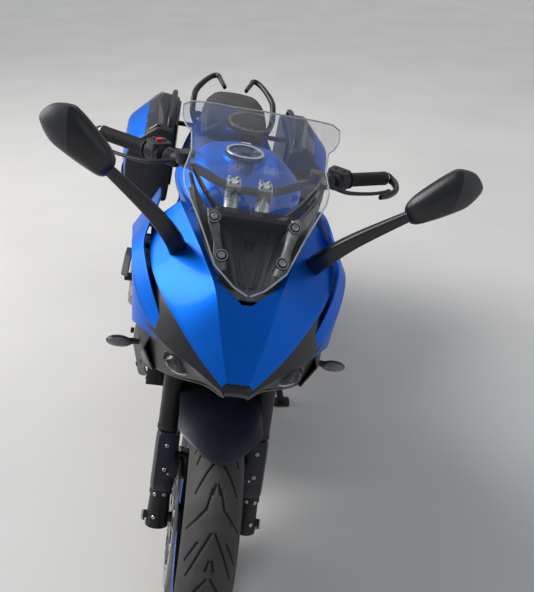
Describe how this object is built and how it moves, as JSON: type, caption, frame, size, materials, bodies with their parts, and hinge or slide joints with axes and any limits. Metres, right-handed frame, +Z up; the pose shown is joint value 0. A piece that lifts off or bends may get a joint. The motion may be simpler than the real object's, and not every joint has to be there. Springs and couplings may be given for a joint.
{
  "type": "sport touring motorcycle",
  "caption": "Sport touring motorcycle on its side stand: faired, with windscreen, mirrors, chain drive, steering, turning wheels and two opening side cases.",
  "frame": {"origin": "on the ground, bottom centre of the bounding box of the machine leaning on its side stand", "axes": "-Y forward, +X to the rider's left, +Z up; the ground is Z = 0"},
  "size_m": [0.8634, 2.136, 1.2785],
  "materials": {
    "alloy": "bare alloy",
    "alloy_black": "satin black coated alloy",
    "amber": "smoked clear lens",
    "body_blue": "metallic gloss blue, clear coated",
    "chain": "oiled steel",
    "display": "dark glass",
    "engine": "dark grey coated casting",
    "exhaust": "heat-tinted steel",
    "fender_black": "satin dark grey-black",
    "lamp_glass": "clear lens",
    "mirror_face": "silvered",
    "red_lens": "red lens",
    "rim": "gloss black casting with a blue rim stripe",
    "screen": "clear, lightly smoked",
    "seat": "matt dark vinyl, dusty",
    "steel": "ground steel",
    "trim_black": "grained matt black",
    "tyre": "grey-black rubber"
  },
  "bodies": {
    "chassis": {"main_frame": "alloy_black", "engine": "engine", "swingarm": "alloy_black", "rear_shock": "steel", "rear_caliper": "alloy_black", "radiator": "alloy_black", "exhaust": "exhaust", "drive_chain": "chain", "fuel_tank": "body_blue", "rider_seat": "seat", "pillion_seat": "seat", "tail_frame": "steel", "tail_cowl": "body_blue", "grab_rails": "alloy_black", "tail_lamp": "red_lens", "plate_holder": "trim_black", "nose_cowl": "body_blue", "lamp_cowl": "trim_black", "inner_cowl": "trim_black", "display": "display", "windscreen": "screen", "fairing_stay": "steel", "mirror_left": "trim_black", "mirror_right": "trim_black", "mirror_glasses": "mirror_face", "turn_signals": "amber", "headlamps": "lamp_glass", "side_cowl_left": "body_blue", "side_cowl_right": "body_blue", "lower_cowl_left": "trim_black", "lower_cowl_right": "trim_black", "case_left": "trim_black", "case_right": "trim_black", "case_mounts": "alloy_black", "footrests": "alloy_black"},
    "steering": {"fork": "alloy_black", "front_fender": "fender_black", "handlebar": "alloy_black", "hand_controls": "trim_black", "levers": "alloy_black", "front_calipers": "alloy_black"},
    "front_wheel": {"front_tyre": "tyre", "front_rim": "rim", "front_discs": "steel"},
    "rear_wheel": {"rear_tyre": "tyre", "rear_rim": "rim", "rear_disc": "steel", "sprocket": "steel"},
    "stand": {"side_stand": "alloy_black"},
    "left_lid": {"case_lid_left": "body_blue"},
    "right_lid": {"case_lid_right": "body_blue"},
    "tank_cap": {"fuel_cap": "alloy"}
  },
  "joints": [
    {"name": "steering_turn", "type": "hinge", "parent": "chassis", "child": "steering", "pos_m": [-0.02672, -0.46698, 0.84745], "axis": [0.1652, 0.4226, 0.8911], "range_deg": [-28, 28]},
    {"name": "front_wheel_spin", "type": "hinge", "parent": "steering", "child": "front_wheel", "pos_m": [-0.12877, -0.768, 0.29683], "axis": [0.9833, 0, -0.1822], "continuous": true},
    {"name": "rear_wheel_spin", "type": "hinge", "parent": "chassis", "child": "rear_wheel", "pos_m": [-0.12677, 0.692, 0.30765], "axis": [0.9833, 0, -0.1822], "continuous": true},
    {"name": "side_stand_fold", "type": "hinge", "parent": "chassis", "child": "stand", "pos_m": [0.07378, 0.022, 0.25929], "axis": [0.9763, -0.075, 0.2029], "range_deg": [0, 100]},
    {"name": "left_lid_swing", "type": "hinge", "parent": "chassis", "child": "left_lid", "pos_m": [0.20608, 0.562, 0.50123], "axis": [0, 1, 0], "range_deg": [0, 80]},
    {"name": "right_lid_swing", "type": "hinge", "parent": "chassis", "child": "right_lid", "pos_m": [-0.36814, 0.562, 0.60765], "axis": [0, -1, 0], "range_deg": [0, 80]},
    {"name": "tank_cap_lift", "type": "hinge", "parent": "chassis", "child": "tank_cap", "pos_m": [0.00061, -0.247, 0.99494], "axis": [0.9833, 0, -0.1822], "range_deg": [0, 85]}
  ]
}
